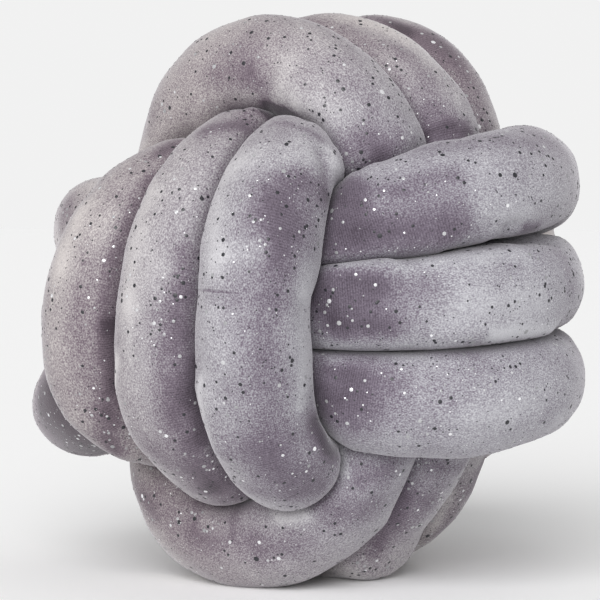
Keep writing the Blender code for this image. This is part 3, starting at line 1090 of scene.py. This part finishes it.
def make_dots(looks):
    """Scatter foil dots over the skin that shows, turned to the skin under them. Their diameters are the
    usual one, times the share of a large or a small dot and e^(spread x normal)."""
    places, outward, nap_and_shade, middle = tube_skin(looks)
    rng = np.random.default_rng(DOT_SEED)
    station, side = dot_places(looks, rng, places, outward, middle)
    count = len(station)
    place = grid_value(places, station, side)
    up = unit(grid_value(outward, station, side))
    large = np.where(rng.random(count) < LARGE_SHARE, LARGE_DOT, SMALL_DOT)
    radius = looks.dot / 2.0 * large * np.exp(rng.normal(0.0, DOT_SIZE_SPREAD, count))
    points, faces = lenses(rng, place, up, radius)
    dots = mesh_object("foil_dots", points.reshape(-1, 3), faces.reshape(-1, 3), foil_finish(looks), False)
    paleness = grid_value(nap_and_shade, station, side) - NAP_TONE
    height = (place[:, 2] - middle[2]) / (BALL_RADIUS * looks.tube)
    painted_glint = dot_painted_glint(rng, paleness, height)
    add_values(dots, "painted_glint", "FLOAT", np.repeat(painted_glint, points.shape[1]))
    return dots


class KNOT_OT_foil_dots(Operator):
    """Scatter foil dots over the velvet"""

    bl_idname = "knot.foil_dots"
    bl_label = "Foil dots"

    def execute(self, context):
        piece = make_dots(context.scene.knot_looks)
        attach(piece, "root")
        return {"FINISHED"}


# ---------------------------------------------------------------------------------------------------------
# The stage.

# Distances are in metres and angles in degrees, from the front to the right and up.
CAMERA_AZIMUTH = 35.0
CAMERA_HEIGHT_ANGLE = 2.0
CAMERA_DISTANCE = 1.2
CAMERA_LENS = 141.3  # millimetres, as is the sensor
CAMERA_SENSOR = 36.0
CAMERA_AIM_LEFT = 0.0046
KEY_AZIMUTH = 22.0
KEY_HEIGHT_ANGLE = 28.0
KEY_SPREAD = 50.0
FLOOR_SIZE = 60.0
FLOOR_ROUGHNESS = 0.9
SHOWN_BACKDROP = 0.90  # how bright the surroundings look, so that the floor runs on into them


def aim(thing, place, target):
    """Put a camera or light at a place and point it at a target."""
    thing.location = place
    thing.rotation_euler = (Vector(target) - Vector(place)).to_track_quat("-Z", "Y").to_euler()


def make_surroundings(scene, looks):
    """Light everything evenly and paler behind, so that the floor runs on into the background."""
    world = bpy.data.worlds.new("studio")
    world.use_nodes = True
    nodes, links = world.node_tree.nodes, world.node_tree.links
    background = nodes["Background"]
    background.inputs["Color"].default_value = opaque(looks.backdrop)
    path = nodes.new("ShaderNodeLightPath")
    strength = nodes.new("ShaderNodeMapRange")
    strength.inputs["To Min"].default_value = looks.surround_light
    strength.inputs["To Max"].default_value = SHOWN_BACKDROP
    links.new(path.outputs["Is Camera Ray"], strength.inputs["Value"])
    links.new(strength.outputs["Result"], background.inputs["Strength"])
    scene.world = world


def make_key_light(scene, looks):
    """Add the broad, even light of a large window, from high on the camera's left."""
    data = bpy.data.lights.new("key", "SUN")
    data.energy = looks.key_light
    data.angle = math.radians(KEY_SPREAD)
    light = bpy.data.objects.new("key", data)
    scene.collection.objects.link(light)
    aim(light, direction(KEY_AZIMUTH, KEY_HEIGHT_ANGLE), (0.0, 0.0, 0.0))


def make_floor(looks):
    """Lay a plain pale floor."""
    finish = Finish("floor")
    finish.set(Base_Color=opaque(looks.backdrop), Roughness=FLOOR_ROUGHNESS)
    half = FLOOR_SIZE / 2.0
    corners = np.array([(-half, -half, 0.0), (half, -half, 0.0), (half, half, 0.0), (-half, half, 0.0)])
    mesh_object("floor", corners, np.array([[0, 1, 2, 3]]), finish.material)


def make_camera(scene):
    """Look at the cushion from the right of its front, from far off and hardly higher than its middle."""
    middle = np.array(bpy.data.objects["velvet_tube"]["middle"])
    camera = bpy.data.objects.new("camera", bpy.data.cameras.new("camera"))
    scene.collection.objects.link(camera)
    camera.data.lens = CAMERA_LENS
    camera.data.sensor_width = CAMERA_SENSOR
    back = direction(CAMERA_AZIMUTH, CAMERA_HEIGHT_ANGLE)
    left = direction(CAMERA_AZIMUTH - 90.0, 0.0)
    aim(camera, middle + back * CAMERA_DISTANCE, middle + left * CAMERA_AIM_LEFT)
    scene.camera = camera


def make_stage(looks):
    """Set up the floor, the pale surroundings, the light and the camera."""
    scene = bpy.context.scene
    scene.view_settings.view_transform = "Standard"
    make_surroundings(scene, looks)
    make_key_light(scene, looks)
    make_floor(looks)
    make_camera(scene)


class KNOT_OT_stage(Operator):
    """Set up the floor, lights and camera"""

    bl_idname = "knot.stage"
    bl_label = "Stage"

    def execute(self, context):
        make_stage(context.scene.knot_looks)
        return {"FINISHED"}


class KNOT_PT_panel(Panel):
    """Builds the dressed knot cushion piece by piece"""

    bl_idname = "KNOT_PT_panel"
    bl_label = "Knot cushion"
    bl_space_type = "VIEW_3D"
    bl_region_type = "UI"
    bl_category = "Knot cushion"

    def draw(self, context):
        looks = context.scene.knot_looks
        for name in looks.bl_rna.properties.keys():
            if name not in ("rna_type", "name"):
                self.layout.prop(looks, name)
        for operator in (KNOT_OT_velvet_tube, KNOT_OT_foil_dots, KNOT_OT_stage):
            self.layout.operator(operator.bl_idname)


CLASSES = (KnotLooks, KNOT_OT_velvet_tube, KNOT_OT_foil_dots, KNOT_OT_stage, KNOT_PT_panel)


def register():
    """Add the add-on's classes and its settings."""
    for kind in CLASSES:
        bpy.utils.register_class(kind)
    bpy.types.Scene.knot_looks = PointerProperty(type=KnotLooks)


def unregister():
    """Take the add-on's classes and its settings away."""
    del bpy.types.Scene.knot_looks
    for kind in reversed(CLASSES):
        bpy.utils.unregister_class(kind)


def main():
    """Build the dressed cushion and its stage."""
    register()
    bpy.ops.knot.velvet_tube()
    bpy.ops.knot.foil_dots()
    bpy.ops.knot.stage()


if __name__ == "__main__":
    main()
